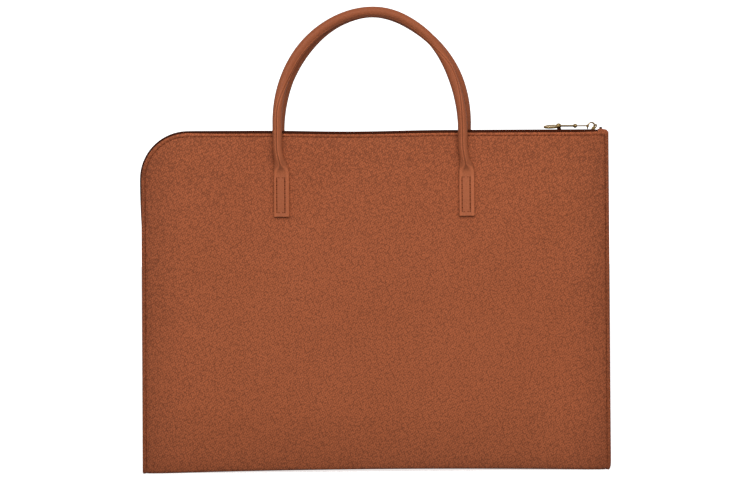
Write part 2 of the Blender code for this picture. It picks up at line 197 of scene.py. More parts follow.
def pick(piece, kind, wanted):
    """Selects only the verts, edges or faces whose middle passes the test."""
    bpy.ops.mesh.select_all(action="DESELECT")
    drawn = bmesh.from_edit_mesh(piece.data)
    for element in getattr(drawn, kind):
        if kind == "verts":
            middle = element.co
        else:
            middle = sum((vert.co for vert in element.verts), Vector()) / len(element.verts)
        if wanted(middle):
            element.select_set(True)
    drawn.select_flush_mode()
    bmesh.update_edit_mesh(piece.data)


def cut(axis, at, whole=True):
    """Cuts the open mesh, or only its selected part, by a plane across one axis, where 0 is X."""
    if whole:
        bpy.ops.mesh.select_all(action="SELECT")
    place, across = [0.0] * 3, [0.0] * 3
    place[axis], across[axis] = at, 1.0
    bpy.ops.mesh.bisect(plane_co=place, plane_no=across, threshold=1e-6)


def add_modifier(piece, kind, **values):
    bpy.context.view_layer.objects.active = piece
    added = piece.modifiers.new(kind.lower(), kind)
    for name, value in values.items():
        setattr(added, name, value)
    bpy.ops.object.modifier_apply(modifier=added.name)


def subdivide_smooth(piece, levels):
    add_modifier(piece, "SUBSURF", levels=levels, render_levels=levels)
    piece.data.shade_smooth()


def start_material(name):
    made = bpy.data.materials.new(name)
    made.use_nodes = True
    return made, made.node_tree.nodes["Principled BSDF"]


def link(made, source, socket):
    made.node_tree.links.new(source, socket)


def set_inputs(node, **values):
    """Sets a node's inputs by their names, which have an underline here for each space."""
    for name, value in values.items():
        node.inputs[name.replace("_", " ")].default_value = value


def add_node(made, kind, **inputs):
    node = made.node_tree.nodes.new("ShaderNode" + kind)
    set_inputs(node, **inputs)
    return node


def add_ramp(made, source, *stops):
    """The colour of a ramp through (place, grey or colour) stops."""
    ramp = add_node(made, "ValToRGB")
    elements = ramp.color_ramp.elements
    while len(elements) < len(stops):
        elements.new(0.5)
    for element, (place, color) in zip(elements, stops):
        element.position = place
        grey = not isinstance(color, tuple)
        element.color = (color, color, color, 1.0) if grey else (*color, 1.0)
    link(made, source, ramp.inputs["Fac"])
    return ramp.outputs["Color"]


def add_noise(made, place, **inputs):
    cloud = add_node(made, "TexNoise", **inputs)
    link(made, place, cloud.inputs["Vector"])
    return cloud.outputs["Fac"]


def add_mix(made, fac, first, second, blend_type="MIX"):
    """Mixes two colours. Each input is a socket, a colour or, for fac, a number."""
    node = add_node(made, "Mix")
    node.data_type = "RGBA"
    node.blend_type = blend_type
    node.clamp_factor = True
    for name, value in (("Factor", fac), ("A", first), ("B", second)):
        kind = "VALUE" if name == "Factor" else "RGBA"
        socket = next(item for item in node.inputs if item.name == name and item.type == kind)
        if isinstance(value, bpy.types.NodeSocket):
            link(made, value, socket)
        else:
            socket.default_value = value if name == "Factor" else (*value, 1.0)
    return next(item for item in node.outputs if item.type == "RGBA")


def multiply(made, first, second):
    return add_mix(made, 1.0, first, second, "MULTIPLY")


def tint(made, shade):
    color = made.node_tree.nodes["Principled BSDF"].inputs["Base Color"]
    link(made, multiply(made, color.links[0].from_socket, shade), color)


def add_bump(made, shader, height, strength, distance):
    bump = add_node(made, "Bump", Strength=strength, Distance=distance)
    link(made, height, bump.inputs["Height"])
    link(made, bump.outputs["Normal"], shader.inputs["Normal"])


def add_sum(made, first, first_share, second, second_share):
    """first times its share plus second times its share, as one height."""
    total = None
    for source, share in ((first, first_share), (second, second_share)):
        part = add_node(made, "Math")
        part.operation = "MULTIPLY_ADD"
        link(made, source, part.inputs[0])
        part.inputs[1].default_value = share
        part.inputs[2].default_value = 0.0
        if total is not None:
            link(made, total, part.inputs[2])
        total = part.outputs[0]
    return total


def leather_material(name, light, dark, pebble, depth, roughness, contrast, thin=(1.0, 1.0, 1.0)):
    """Grained leather: rounded pebbles with small dark pits where they meet.

    thin is small along the axis that the face looks along, so that each pebble is cut at its middle.
    """
    made, shader = start_material(name)
    place = add_node(made, "TexCoord").outputs["Object"]
    stretch = add_node(made, "Mapping", Rotation=(0.0, 0.5, 0.0), Scale=thin)
    link(made, place, stretch.inputs["Vector"])
    # A little swirl keeps the pebbles from standing in rows
    swirl = add_node(made, "TexNoise", Scale=0.6 / pebble, Detail=2.0)
    link(made, stretch.outputs[0], swirl.inputs["Vector"])
    swirled = add_node(made, "VectorMath")
    swirled.operation = "MULTIPLY_ADD"
    link(made, swirl.outputs["Color"], swirled.inputs[0])
    swirled.inputs[1].default_value = [pebble * 0.35 * (size > 0.5) for size in thin]
    link(made, stretch.outputs[0], swirled.inputs[2])
    grain = add_node(made, "TexVoronoi", Scale=1.0 / pebble, Randomness=0.5)
    link(made, swirled.outputs[0], grain.inputs["Vector"])
    pebbles = add_ramp(made, grain.outputs["Distance"], (0.12, 1.0), (0.45, 0.75), (0.70, 0.0))
    pores = add_noise(made, place, Scale=2.2 / pebble, Detail=3.0, Roughness=0.65)
    soft = add_noise(made, place, Scale=34.0, Detail=2.0)
    mottling = add_noise(made, place, Scale=11.0, Detail=4.0, Roughness=0.55)

    dye = add_ramp(made, mottling, (0.30, dark), (0.70, light))
    # Pale on the crown of a pebble, dark in the pits where pebbles meet
    crowns = ((0.05, 1.26), (0.30, 1.04), (0.50, 0.93), (0.70, 0.62))
    crowns = [(at, 1 + contrast * (shade - 1)) for at, shade in crowns]
    pits = add_ramp(made, grain.outputs["Distance"], *crowns)
    # Single pebbles took a little more or less of the dye, in some patches more than in others
    uneven = ((0.15, 1 - 0.03 * contrast), (0.85, 1 + 0.04 * contrast))
    single = add_ramp(made, grain.outputs["Color"], *uneven)
    patches = add_ramp(made, soft, (0.35, 0.55), (0.65, 1.0))
    shown = add_mix(made, patches, (1.0, 1.0, 1.0), single)
    speck = add_ramp(made, pores, (0.30, 0.82), (0.62, 1.10))
    color = multiply(made, multiply(made, dye, pits), shown)
    link(made, multiply(made, color, speck), shader.inputs["Base Color"])

    sheen = add_ramp(made, soft, (0.3, roughness + 0.05), (0.7, roughness - 0.05))
    link(made, sheen, shader.inputs["Roughness"])
    set_inputs(shader, Specular_IOR_Level=0.20)
    height = add_sum(made, pebbles, 1.0, pores, 0.45)
    add_bump(made, shader, height, 1.0, depth)
    return made


def paint_light_and_shade(made, place, middle, reach, *stops):
    """Paints light or shade into a leather's colour by a ramp over a coordinate's distance from middle, in
    shares of reach.
    """
    split = add_node(made, "SeparateXYZ")
    link(made, made.node_tree.nodes["Texture Coordinate"].outputs["Object"], split.inputs[0])
    value = split.outputs[place]
    for operation, number in (("SUBTRACT", middle), ("ABSOLUTE", None), ("DIVIDE", reach)):
        step = add_node(made, "Math")
        step.operation = operation
        link(made, value, step.inputs[0])
        if number is not None:
            step.inputs[1].default_value = number
        value = step.outputs[0]
    tint(made, add_ramp(made, value, *stops))


case_leather = add_shape(bpy.ops.mesh.primitive_plane_add, "case_leather", size=1.0)
size_to(case_leather, (PANEL_WIDTH, BASE_DEPTH, 1.0))
open_edit(case_leather, "EDGE")
pick(case_leather, "edges", lambda middle: abs(middle.y) > 0.9 * BASE_DEPTH / 2)
bpy.ops.mesh.extrude_edges_move(TRANSFORM_OT_translate={"value": (0.0, 0.0, PANEL_HEIGHT)})
bpy.ops.transform.resize(value=(1.0, TOP_DEPTH / BASE_DEPTH, 1.0), center_override=(0.0, 0.0, PANEL_HEIGHT))
pick(case_leather, "edges", lambda middle: middle.z < 1e-5 and abs(middle.x) < 1e-5)
bpy.ops.mesh.bevel(offset=FOLD_RADIUS, segments=4, affect="EDGES")
bpy.ops.mesh.select_mode(type="VERT")
pick(case_leather, "verts", lambda place: place.x < 0 and place.z > 0.9 * PANEL_HEIGHT)
bpy.ops.mesh.bevel(offset=CORNER_RADIUS, segments=10, affect="VERTICES")
bpy.ops.mesh.select_all(action="SELECT")
bpy.ops.mesh.normals_make_consistent(inside=False)
bpy.ops.mesh.select_mode(type="FACE")
bpy.ops.mesh.select_all(action="SELECT")
for further_in, further_out in EDGE_LOOPS:
    bpy.ops.mesh.inset(thickness=further_in, depth=further_out, use_boundary=True, use_even_offset=True)
for step in range(-COLUMNS_BESIDE, COLUMNS_BESIDE + 1):
    cut(0, COLUMN_PITCH * step)
for column in SIDE_COLUMNS:
    cut(0, column)
for row in (*FOOT_ROWS, *(ROW_PITCH + ROW_PITCH * step for step in range(ROW_COUNT)), *HEAD_ROWS):
    cut(2, row)
cut(0, HALF_WIDTH - CRISP)
corner_x = COLUMN_PITCH * COLUMNS_BESIDE
pick(case_leather, "faces", lambda middle: middle.x > corner_x and middle.z > HEAD_ROWS[1])
cut(2, PANEL_HEIGHT - CRISP, whole=False)
close_edit()
for vert in case_leather.data.vertices:
    x, y, z = vert.co
    if z < WORN_HEIGHT and x > WORN_FROM * HALF_WIDTH:
        beside = smooth((x / HALF_WIDTH - WORN_FROM) / (1 - WORN_FROM))
        vert.co.x -= WORN_CORNER * (1 - z / WORN_HEIGHT) ** 2 * beside
    raised = smooth((z - FOLD_RADIUS) / (ARCH_UNTIL * PANEL_HEIGHT))
    vert.co.z += base_lift(x) * (1 - raised)
    if z > DIP_FROM * PANEL_HEIGHT and x > CORNER_X:
        vert.co.z -= top_dip(x) * smooth((z / PANEL_HEIGHT - DIP_FROM) / (1 - DIP_FROM))
        crest = smooth((z - PANEL_HEIGHT + SINK_HEIGHT) / SINK_BLEND)
        crest *= smooth((SINK_END_X - x) / SINK_FADE_RIGHT) * smooth((x - CORNER_X) / SINK_FADE_LEFT)
        vert.co.z -= EDGE_SINK * crest
    if z > FOLD_RADIUS - 1e-5:
        vert.co.y += bulge(x, vert.co.z) * (1 if y > 0 else -1)
add_modifier(case_leather, "SOLIDIFY", thickness=LEATHER, offset=-1.0, use_even_offset=True)
subdivide_smooth(case_leather, 2)
for vert in case_leather.data.vertices:
    x, y, z = vert.co
    if z > FOLD_RADIUS:
        side = 1 if y > 0 else -1
        inside = smooth((HALF_WIDTH - abs(x)) / WAVE_FADE) * smooth((upper_edge(x) - z) / WAVE_FADE)
        inside *= smooth(z / WAVE_FADE_BASE)
        wave = noise.noise(Vector((x, side * WAVE_LENGTH, z)) / WAVE_LENGTH)
        vert.co.y += side * WAVE_HEIGHT * wave * inside

tan_leather = leather_material("tan pebbled leather", *HIDE, 1.05, thin=(1.0, 0.065, 0.85))
# Painted shade, darker towards the two sides and towards the base, and a painted highlight along the upper
# edge
paint_light_and_shade(tan_leather, "X", 0.0, 0.200, (0.775, 1.0), (0.86, 0.93), (0.91, 0.85), (0.94, 0.72))
paint_light_and_shade(tan_leather, "Z", 0.300, 0.300, (0.82, 1.0), (0.955, 0.88), (1.0, 0.76))
# Painted highlight on the rounded upper edge, where it faces the light
paint_light_and_shade(tan_leather, "Z", PANEL_HEIGHT - 0.0006, 0.004, (0.0, 1.25), (0.35, 1.16), (0.55, 1.0))
case_leather.data.materials.append(tan_leather)
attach(case_leather, "case")
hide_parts("leather_body")

# The seam of the case
# Waxed brown thread, eight stitches to the inch, sewn through the turned edge up both sides and over the
# top. Each stitch is a short bead of thread that dives into a hole at either end.
STITCH_PITCH = 0.00325
STITCH_LENGTH = 0.0024
STITCH_WIDTH = 0.0006
STITCH_DIVE = 0.0003
# How far a stitch stands out of the leather, as a share of its width
STITCH_PROUD = 0.22
HOLE_WIDTH = 0.00075
HOLE_DEPTH = 0.00016
SEAM_START_Z = 0.0050
SEAM_STEPS = 60
SEAM_TURN_STEPS = 24
TACK_STITCHES = 3
TACK_GAP = 0.0028


def speckled_material(name, scale, detail, *stops):
    """A material with its colour over a fine noise, through (place, colour) stops."""
    made, shader = start_material(name)
    place = add_node(made, "TexCoord").outputs["Object"]
    speckle = add_noise(made, place, Scale=scale, Detail=detail)
    link(made, add_ramp(made, speckle, *stops), shader.inputs["Base Color"])
    return made, shader, speckle


def thread_material():
    stops = (0.35, (0.085, 0.016, 0.006)), (0.65, (0.150, 0.032, 0.012))
    made, shader, twist = speckled_material("brown thread", 2600.0, 1.0, *stops)
    set_inputs(shader, Roughness=0.7, Specular_IOR_Level=0.10)
    add_bump(made, shader, twist, 0.7, 0.00008)
    return made


def hole_shade_material():
    # The dark colour is painted shade, standing for the shade inside a needle hole
    stops = (0.3, (0.028, 0.005, 0.002)), (0.7, (0.055, 0.011, 0.004))
    made, shader, _ = speckled_material("needle hole shade", 900.0, 1.0, *stops)
    set_inputs(shader, Roughness=0.9, Specular_IOR_Level=0.05)
    return made


def walk(points, pitch):
    """Evenly spaced (middle, direction) places along a line through the points."""
    lengths = [(after - before).length for before, after in zip(points, points[1:])]
    count = int(sum(lengths) / pitch)
    start = (sum(lengths) - (count - 1) * pitch) / 2
    places = []
    done = 0.0
    segment = 0
    for index in range(count):
        wanted = start + index * pitch
        while segment < len(lengths) - 1 and done + lengths[segment] < wanted:
            done += lengths[segment]
            segment += 1
        share = (wanted - done) / lengths[segment]
        before, after = points[segment], points[segment + 1]
        places.append((before.lerp(after, share), (after - before).normalized()))
    return places


def lay_copies(name, pattern, matrices, finish):
    """One mesh that holds a copy of the pattern at each matrix."""
    gathered = bmesh.new()
    for matrix in matrices:
        copied = pattern.data.copy()
        copied.transform(matrix)
        gathered.from_mesh(copied)
        bpy.data.meshes.remove(copied)
    mesh = bpy.data.meshes.new(name)
    gathered.to_mesh(mesh)
    gathered.free()
    mesh.materials.append(finish)
    mesh.shade_smooth()
    laid = bpy.data.objects.new(name, mesh)
    bpy.context.scene.collection.objects.link(laid)
    return laid


def facing(middle, along, outward):
    """A place with its X along the seam and its Z out of the leather."""
    across = outward.cross(along).normalized()
    outward = along.cross(across).normalized()
    turned = Matrix((along, across, outward)).transposed().to_4x4()
    return Matrix.Translation(middle) @ turned


lying = (0.0, pi / 2, 0.0)
stitch = add_shape(
    bpy.ops.mesh.primitive_uv_sphere_add, "stitch", segments=8, ring_count=6, radius=0.5, rotation=lying
)
size_to(stitch, (STITCH_WIDTH, STITCH_WIDTH, STITCH_LENGTH))
for vert in stitch.data.vertices:
    vert.co.z -= STITCH_DIVE * (2 * vert.co.x / STITCH_LENGTH) ** 4
hole = add_shape(bpy.ops.mesh.primitive_uv_sphere_add, "hole", segments=8, ring_count=4, radius=0.5)
size_to(hole, (HOLE_WIDTH, HOLE_WIDTH, HOLE_DEPTH))
thread = thread_material()
needle_hole = hole_shade_material()


def seam_line():
    """The (x, z) line of the seam, from the foot of the right side over the top to the foot of the left."""
    inside = GROOVE_INSET
    line = [(HALF_WIDTH - inside, SEAM_START_Z), (HALF_WIDTH - inside, PANEL_HEIGHT - inside)]
    for step in range(1, SEAM_STEPS + 1):
        x = mix(HALF_WIDTH - inside, CORNER_X, step / SEAM_STEPS)
        line.append((x, upper_edge(x) - inside))
    for step in range(1, SEAM_TURN_STEPS + 1):
        turn = pi / 2 * step / SEAM_TURN_STEPS
        radius = CORNER_RADIUS - inside
        line.append((CORNER_X - radius * sin(turn), CORNER_Z + radius * cos(turn)))
    line.append((inside - HALF_WIDTH, SEAM_START_Z))
    return line


def on_panel(x, z, side, depth):
    return Vector((x, side * (face_y(x, z) - depth), z))


def sew(name, stitches, holes):
    """Lays a stitch or a hole at each matrix."""
    sewn = lay_copies(name + "_stitches", stitch, stitches, thread)
    pierced = lay_copies(name + "_needle_holes", hole, holes, needle_hole)
    for piece in (sewn, pierced):
        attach(piece, "case")


def sew_panel(name, side):
    """Lays the stitches and their holes on one face of the case. side is -1 for the front."""
    flat = [Vector((x, 0.0, z)) for x, z in seam_line()]
    places = walk(flat, STITCH_PITCH)
    for step in range(TACK_STITCHES):
        z = PANEL_HEIGHT - GROOVE_INSET - (step + 0.5) * STITCH_PITCH
        tack = Vector((HALF_WIDTH - GROOVE_INSET - TACK_GAP, 0.0, z))
        places.append((tack, Vector((0.0, 0.0, 1.0))))
    stitches = []
    holes = []
    for middle, along in places:
        x, z = middle.x, middle.z
        reach = STITCH_PITCH / 2
        ahead = on_panel(x + along.x * reach, z + along.z * reach, side, GROOVE_DEPTH)
        behind = on_panel(x - along.x * reach, z - along.z * reach, side, GROOVE_DEPTH)
        outward = Vector((0.0, side, 0.0))
        seated = (ahead + behind) / 2 + outward * STITCH_WIDTH * STITCH_PROUD
        stitches.append(facing(seated, (ahead - behind).normalized(), outward))
        holes.append(facing(ahead, (ahead - behind).normalized(), outward))
    sew(name, stitches, holes)


sew_panel("front", -1)
sew_panel("back", 1)

# The side strips
# Two strips of the same hide stand between the panels: the right one over the full height, the left one
# up to the end of the zip. Each is turned in behind the panels and pinched to a soft crease in its middle.
STRIP_LEATHER = 0.0014
STRIP_RECESS = 0.0008
STRIP_FLANGE = 0.0080
STRIP_CREASE = 0.0011
CREASE_FADE = 0.01
SEAM_GAP = 0.0003
ZIP_LEFT_END_Z = 0.1860
STRIP_ROWS = 10
# Rows crowd towards the foot, by this power
STRIP_CROWDING = 1.4
FOOT_ROW = 0.0008
HEAD_ROW = 0.0006
STRIP_COLUMNS = (-0.42, -0.25, 0.0, 0.25, 0.42)
strip_leather = leather_material("tan strip leather", *HIDE, 0.6, thin=(0.085, 1.0, 1.0))


def room_half(z):
    """Half the room between the panels at the two ends of the case."""
    if z >= FOLD_RADIUS:
        return edge_half(z) - LEATHER
    inner = FOLD_RADIUS - LEATHER
    return edge_half(FOLD_RADIUS) - FOLD_RADIUS + sqrt(max(0.0, inner**2 - (FOLD_RADIUS - z) ** 2))


def make_side_strip(name, side, foot, head):
    strip = add_shape(bpy.ops.mesh.primitive_plane_add, name, size=1.0, rotation=(0.0, pi / 2 * side, 0.0))
    size_to(strip, (head - foot, 1.0, 1.0), (side * (HALF_WIDTH - STRIP_RECESS), 0.0, (head + foot) / 2))
    open_edit(strip, "EDGE")
    pick(strip, "edges", lambda middle: abs(middle.y) > 0.4)
    flange = (side * (STRIP_RECESS - STRIP_FLANGE), 0.0, 0.0)
    bpy.ops.mesh.extrude_edges_move(TRANSFORM_OT_translate={"value": flange})
    for across in STRIP_COLUMNS:
        cut(1, across)
    for step in range(STRIP_ROWS + 1):
        cut(2, mix(foot + FOOT_ROW, head - HEAD_ROW, (step / STRIP_ROWS) ** STRIP_CROWDING))
    close_edit()
    for vert in strip.data.vertices:
        x, share, z = vert.co
        half = room_half(z) - SEAM_GAP
        vert.co.y = 2 * share * half
        web = abs(x) > HALF_WIDTH - STRIP_RECESS - 1e-5
        if web and abs(share) < 0.49:
            ends = smooth((z - foot) / CREASE_FADE) * smooth((head - z) / CREASE_FADE)
            vert.co.x -= side * STRIP_CREASE * ends * (1 - (2 * share) ** 2)
    add_modifier(strip, "SOLIDIFY", thickness=STRIP_LEATHER, offset=-1.0, use_even_offset=True)
    subdivide_smooth(strip, 2)
    strip.data.materials.append(strip_leather)
    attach(strip, "case")
    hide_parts(name.replace("strip", "gusset"))


ZIP_RISE = 0.0019
COVER_ARCH = 0.0010
COVER_DROP = 0.0005
cover_top = PANEL_HEIGHT + ZIP_RISE
strip_foot = LEATHER + SEAM_GAP
make_side_strip("left_strip", -1, strip_foot, ZIP_LEFT_END_Z)
make_side_strip("right_strip", 1, strip_foot, cover_top - COVER_ARCH - COVER_DROP - STRIP_LEATHER - SEAM_GAP)

# The zip tapes
# Dark brown herringbone tape, folded over the leather's edge in a small roll and sunk again to the teeth. It
# runs from the cap at the right end over the top, round the corner and down the left side.
ZIP_RIGHT_END_X = 0.1800
ZIP_END_SINK = 0.0006
ZIP_RISE_LEFT = 0.7
TAPE = 0.0008
TAPE_FLANGE = 0.0070
CHAIN_DEPTH = 0.00235
TAPE_INNER = 0.0007
TAPE_SEAT = 0.0012
ROLL_END = 0.0030
CHAIN_EDGE = 0.0026
CHAIN_SEAT = 0.0001
# The roll of the tape: shares of the way in from the panel and of the way up from the teeth to the crest
TAPE_ROLL = ((0.0, 0.55), (0.06, 0.84), (0.22, 1.0), (0.48, 0.88), (0.74, 0.45), (1.0, 0.05))
STRAIGHT_STEPS = 40
TURN_STEPS = 16
DOWN_STEPS = 10

# Where along the zip the round corner starts and ends
TURN_START = ZIP_RIGHT_END_X - CORNER_X
TURN_LENGTH = CORNER_RADIUS * pi / 2
TURN_END = TURN_START + TURN_LENGTH


def zip_length_at(x, z):
    """How far along the zip from its right end the nearest point lies."""
    if z < CORNER_Z and x < 0:
        return TURN_END + (CORNER_Z - z)
    if x < CORNER_X:
        return TURN_START + CORNER_RADIUS * atan2(CORNER_X - x, z - CORNER_Z)
    return ZIP_RIGHT_END_X - x


def zip_rise(along):
    """The height of the tape's crest over the leather's edge, which sinks towards the lower end."""
    if along < TURN_START:
        return ZIP_RISE
    if along < TURN_END:
        return ZIP_RISE * mix(1.0, ZIP_RISE_LEFT, (along - TURN_START) / TURN_LENGTH)
    share = min(1.0, (along - TURN_END) / (CORNER_Z - ZIP_LEFT_END_Z - SEAM_GAP))
    return mix(ZIP_RISE_LEFT * ZIP_RISE, -ZIP_END_SINK, share**2)


def zip_place(along, y, height):
    """The point at this length along the zip, this far out of the leather's edge."""
    turn = min(max((along - TURN_START) / CORNER_RADIUS, 0.0), pi / 2)
    out_x, out_z = -sin(turn), cos(turn)
    down = max(0.0, along - TURN_END)
    x = max(CORNER_X, ZIP_RIGHT_END_X - along)
    top = CORNER_Z + CORNER_RADIUS * out_z - down
    x += CORNER_RADIUS * out_x
    if turn == 0.0:
        top -= top_dip(x)
    return Vector((x + out_x * height, y, top + out_z * height))


ZIP_LENGTH = zip_length_at(-HALF_WIDTH, ZIP_LEFT_END_Z + SEAM_GAP)


def tape_material():
    made, shader = start_material("brown zip tape")
    way = add_node(made, "UVMap")
    way.uv_map = "along"
    weave = add_node(made, "TexWave", Scale=420.0, Distortion=1.4, Detail=1.0)
    weave.wave_type = "BANDS"
    weave.bands_direction = "DIAGONAL"
    link(made, way.outputs["UV"], weave.inputs["Vector"])
    fuzz = add_noise(made, way.outputs["UV"], Scale=1500.0, Detail=2.0)
    stops = (0.0, (0.030, 0.006, 0.002)), (1.0, (0.060, 0.014, 0.006))
    color = add_ramp(made, weave.outputs["Fac"], *stops)
    fuzzed = add_ramp(made, fuzz, (0.3, 0.75), (0.7, 1.2))
    link(made, multiply(made, color, fuzzed), shader.inputs["Base Color"])
    set_inputs(shader, Roughness=0.85, Specular_IOR_Level=0.10)
    height = add_sum(made, weave.outputs["Fac"], 1.0, fuzz, 0.4)
    add_bump(made, shader, height, 0.8, 0.00012)
    return made


def make_tape(name, side, stands_for):
    """A grid with the tape's section across it and the route of the zip along it."""
    total = STRAIGHT_STEPS + TURN_STEPS + DOWN_STEPS
    stations = [TURN_START * step / STRAIGHT_STEPS for step in range(STRAIGHT_STEPS)]
    stations += [TURN_START + TURN_LENGTH * step / TURN_STEPS for step in range(TURN_STEPS)]
    stations += [mix(TURN_END, ZIP_LENGTH, step / DOWN_STEPS) for step in range(DOWN_STEPS + 1)]
    columns = len(TAPE_ROLL) + 3
    tape = add_shape(
        bpy.ops.mesh.primitive_grid_add, name, x_subdivisions=columns, y_subdivisions=total, size=1.0
    )
    for vert in tape.data.vertices:
        column = round((vert.co.x + 0.5) * columns)
        along = stations[round((vert.co.y + 0.5) * total)]
        rise = zip_rise(along) - TAPE / 2
        spot = zip_place(along, 0.0, 0.0)
        flange = room_half(spot.z) - SEAM_GAP - TAPE / 2
        level = zip_rise(along) - CHAIN_DEPTH
        section = [(flange, -TAPE_FLANGE), (flange, -TAPE_SEAT)]
        section += [(mix(flange, ROLL_END, inward), mix(level, rise, up)) for inward, up in TAPE_ROLL]
        section += [(CHAIN_EDGE, level - CHAIN_SEAT), (TAPE_INNER, level - CHAIN_SEAT)]
        half, height = section[column]
        vert.co = zip_place(along, side * half, height)
    open_edit(tape)
    bpy.ops.mesh.select_all(action="SELECT")
    if side > 0:
        bpy.ops.mesh.flip_normals()
    close_edit()
    add_modifier(tape, "SOLIDIFY", thickness=TAPE, offset=0.0, use_even_offset=True)
    subdivide_smooth(tape, 1)
    while tape.data.uv_layers:
        tape.data.uv_layers.remove(tape.data.uv_layers[0])
    layer = tape.data.uv_layers.new(name="along")
    for loop in tape.data.loops:
        x, y, z = tape.data.vertices[loop.vertex_index].co
        layer.data[loop.index].uv = (zip_length_at(x, z), abs(y))
    tape.data.materials.append(tape_cloth)
    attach(tape, "case")
    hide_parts(stands_for)


tape_cloth = tape_material()
make_tape("woven_tape_front", -1, "zip_tape_front")
make_tape("woven_tape_back", 1, "zip_tape_back")

# The teeth
# Two rows of small antiqued brass teeth, clamped on the inner edges of the tapes and meshed with each other
# from the slider to the lower end of the zip.
TOOTH_PITCH = 0.00125
TOOTH_SIZE = (0.00105, 0.0034, 0.0015)
TOOTH_HEAD = (0.62, 1.0, 0.7)
TOOTH_ROUND = 0.00018
TOOTH_CREASE = 30.0
TOOTH_REACH = 0.0014
TEETH_START = 0.0042
TEETH_END_GAP = 0.0006


def dark_metal_material():
    stops = (0.35, (0.040, 0.018, 0.010)), (0.7, (0.105, 0.050, 0.026))
    made, shader, wear = speckled_material("antiqued brass", 700.0, 3.0, *stops)
    link(made, add_ramp(made, wear, (0.3, 0.5), (0.7, 0.34)), shader.inputs["Roughness"])
    set_inputs(shader, Metallic=0.85)
    return made


dark_metal = dark_metal_material()
tooth = add_shape(bpy.ops.mesh.primitive_cube_add, "tooth", size=1.0)
size_to(tooth, TOOTH_SIZE)
open_edit(tooth, "FACE")
# The head narrows towards the other row
pick(tooth, "faces", lambda middle: middle.y < -0.49 * TOOTH_SIZE[1])
bpy.ops.transform.resize(value=TOOTH_HEAD, center_override=(0.0, -TOOTH_SIZE[1] / 2, 0.0))
bpy.ops.mesh.select_all(action="SELECT")
bpy.ops.mesh.bevel(offset=TOOTH_ROUND, segments=1, affect="EDGES")
close_edit()


def zip_frame(along, y, height):
    """A place on the zip with its X along the zip and its Z outward."""
    step = 0.0002
    middle = zip_place(along, y, height)
    ahead = (zip_place(along + step, y, height) - zip_place(along - step, y, height)).normalized()
    outward = (zip_place(along, y, height + step) - middle).normalized()
    return facing(middle, ahead, outward)


teeth = []
for index in range(int((ZIP_LENGTH - TEETH_END_GAP - TEETH_START) / TOOTH_PITCH) + 1):
    along = TEETH_START + index * TOOTH_PITCH
    side = 1 if index % 2 else -1
    matrix = zip_frame(along, side * TOOTH_REACH, zip_rise(along) - CHAIN_DEPTH)
    flipped = side * matrix.col[1].y < 0
    teeth.append(matrix @ Matrix.Rotation(pi, 4, "Z") if flipped else matrix)
zip_teeth = lay_copies("zip_teeth", tooth, teeth, dark_metal)
zip_teeth.data.set_sharp_from_angle(angle=radians(TOOTH_CREASE))
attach(zip_teeth, "case")
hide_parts("zip_chain")

# The end of the zip
# A small cap of the case's leather bridges the two panels over the right end of the zip, with a dark
# rivet-like stop on it.
COVER_LENGTH = 0.0084
COVER_EDGE_ROUND = 0.0005
CAP_DOME = 0.0008
end_cap = add_shape(
    bpy.ops.mesh.primitive_grid_add, "leather_end_cap", x_subdivisions=7, y_subdivisions=10, size=1.0
)
cap_half = room_half(PANEL_HEIGHT) - SEAM_GAP
for vert in end_cap.data.vertices:
    along, across = vert.co.x + 0.5, vert.co.y + 0.5
    rounded = COVER_EDGE_ROUND * max(0.0, 1 - along / 0.12) ** 2
    # The dome rises at the zip, and from three quarters of the cap's length it is lower
    plateau = smooth(along / 0.2) * (0.45 + 0.55 * smooth((0.75 - along) / 0.3))
    domed = CAP_DOME * plateau * sin(pi * across) ** 0.5
    arched = COVER_ARCH * (sin(pi * across) - 1) - COVER_DROP * along**4 - rounded + domed
    x = ZIP_RIGHT_END_X + SEAM_GAP + COVER_LENGTH * along
    vert.co = (x, mix(-cap_half, cap_half, across), cover_top + arched)
add_modifier(end_cap, "SOLIDIFY", thickness=STRIP_LEATHER, offset=-1.0, use_even_offset=True)
subdivide_smooth(end_cap, 2)
end_cap.data.materials.append(strip_leather)
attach(end_cap, "case")
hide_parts("zip_end_cover")
frame["nodes"]["zip_end_stop"].material_slots[0].material = dark_metal

# The slider
# Cast and gold plated: an upper and a lower plate round the teeth, a neck between them and a leaning lug
# with the hole that the puller hinges in. Its edges are tumbled round.
EDGE_ROUND = 0.00016
EDGE_ANGLE = 35.0
SLIDER_CREASE = 40.0


def gold_material():
    stops = (0.3, (0.54, 0.36, 0.14)), (0.7, (0.66, 0.45, 0.19))
    made, shader, cloud = speckled_material("polished gold plate", 380.0, 3.0, *stops)
    link(made, add_ramp(made, cloud, (0.3, 0.20), (0.7, 0.11)), shader.inputs["Roughness"])
    set_inputs(shader, Metallic=1.0)
    place = made.node_tree.nodes["Texture Coordinate"].outputs["Object"]
    scratches = add_noise(made, place, Scale=2400.0, Detail=2.0)
    add_bump(made, shader, scratches, 0.08, 0.00002)
    return made


gold = gold_material()
polished_slider = frame["nodes"]["slider"].copy()
polished_slider.data = frame["nodes"]["slider"].data.copy()
polished_slider.name = "polished_slider"
bpy.context.scene.collection.objects.link(polished_slider)
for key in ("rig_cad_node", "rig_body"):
    del polished_slider[key]
polished_slider.parent = None
open_edit(polished_slider, "VERT")
bpy.ops.mesh.select_all(action="SELECT")
bpy.ops.mesh.remove_doubles(threshold=2e-6)
bpy.ops.mesh.dissolve_limited(angle_limit=radians(2))
close_edit()
add_modifier(
    polished_slider, "BEVEL", width=EDGE_ROUND, segments=2, limit_method="ANGLE",
    angle_limit=radians(EDGE_ANGLE), use_clamp_overlap=True,
)
select_only(polished_slider)
bpy.ops.object.shade_smooth_by_angle(angle=radians(SLIDER_CREASE))
polished_slider.material_slots[0].material = gold
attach(polished_slider, "case")
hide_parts("slider")

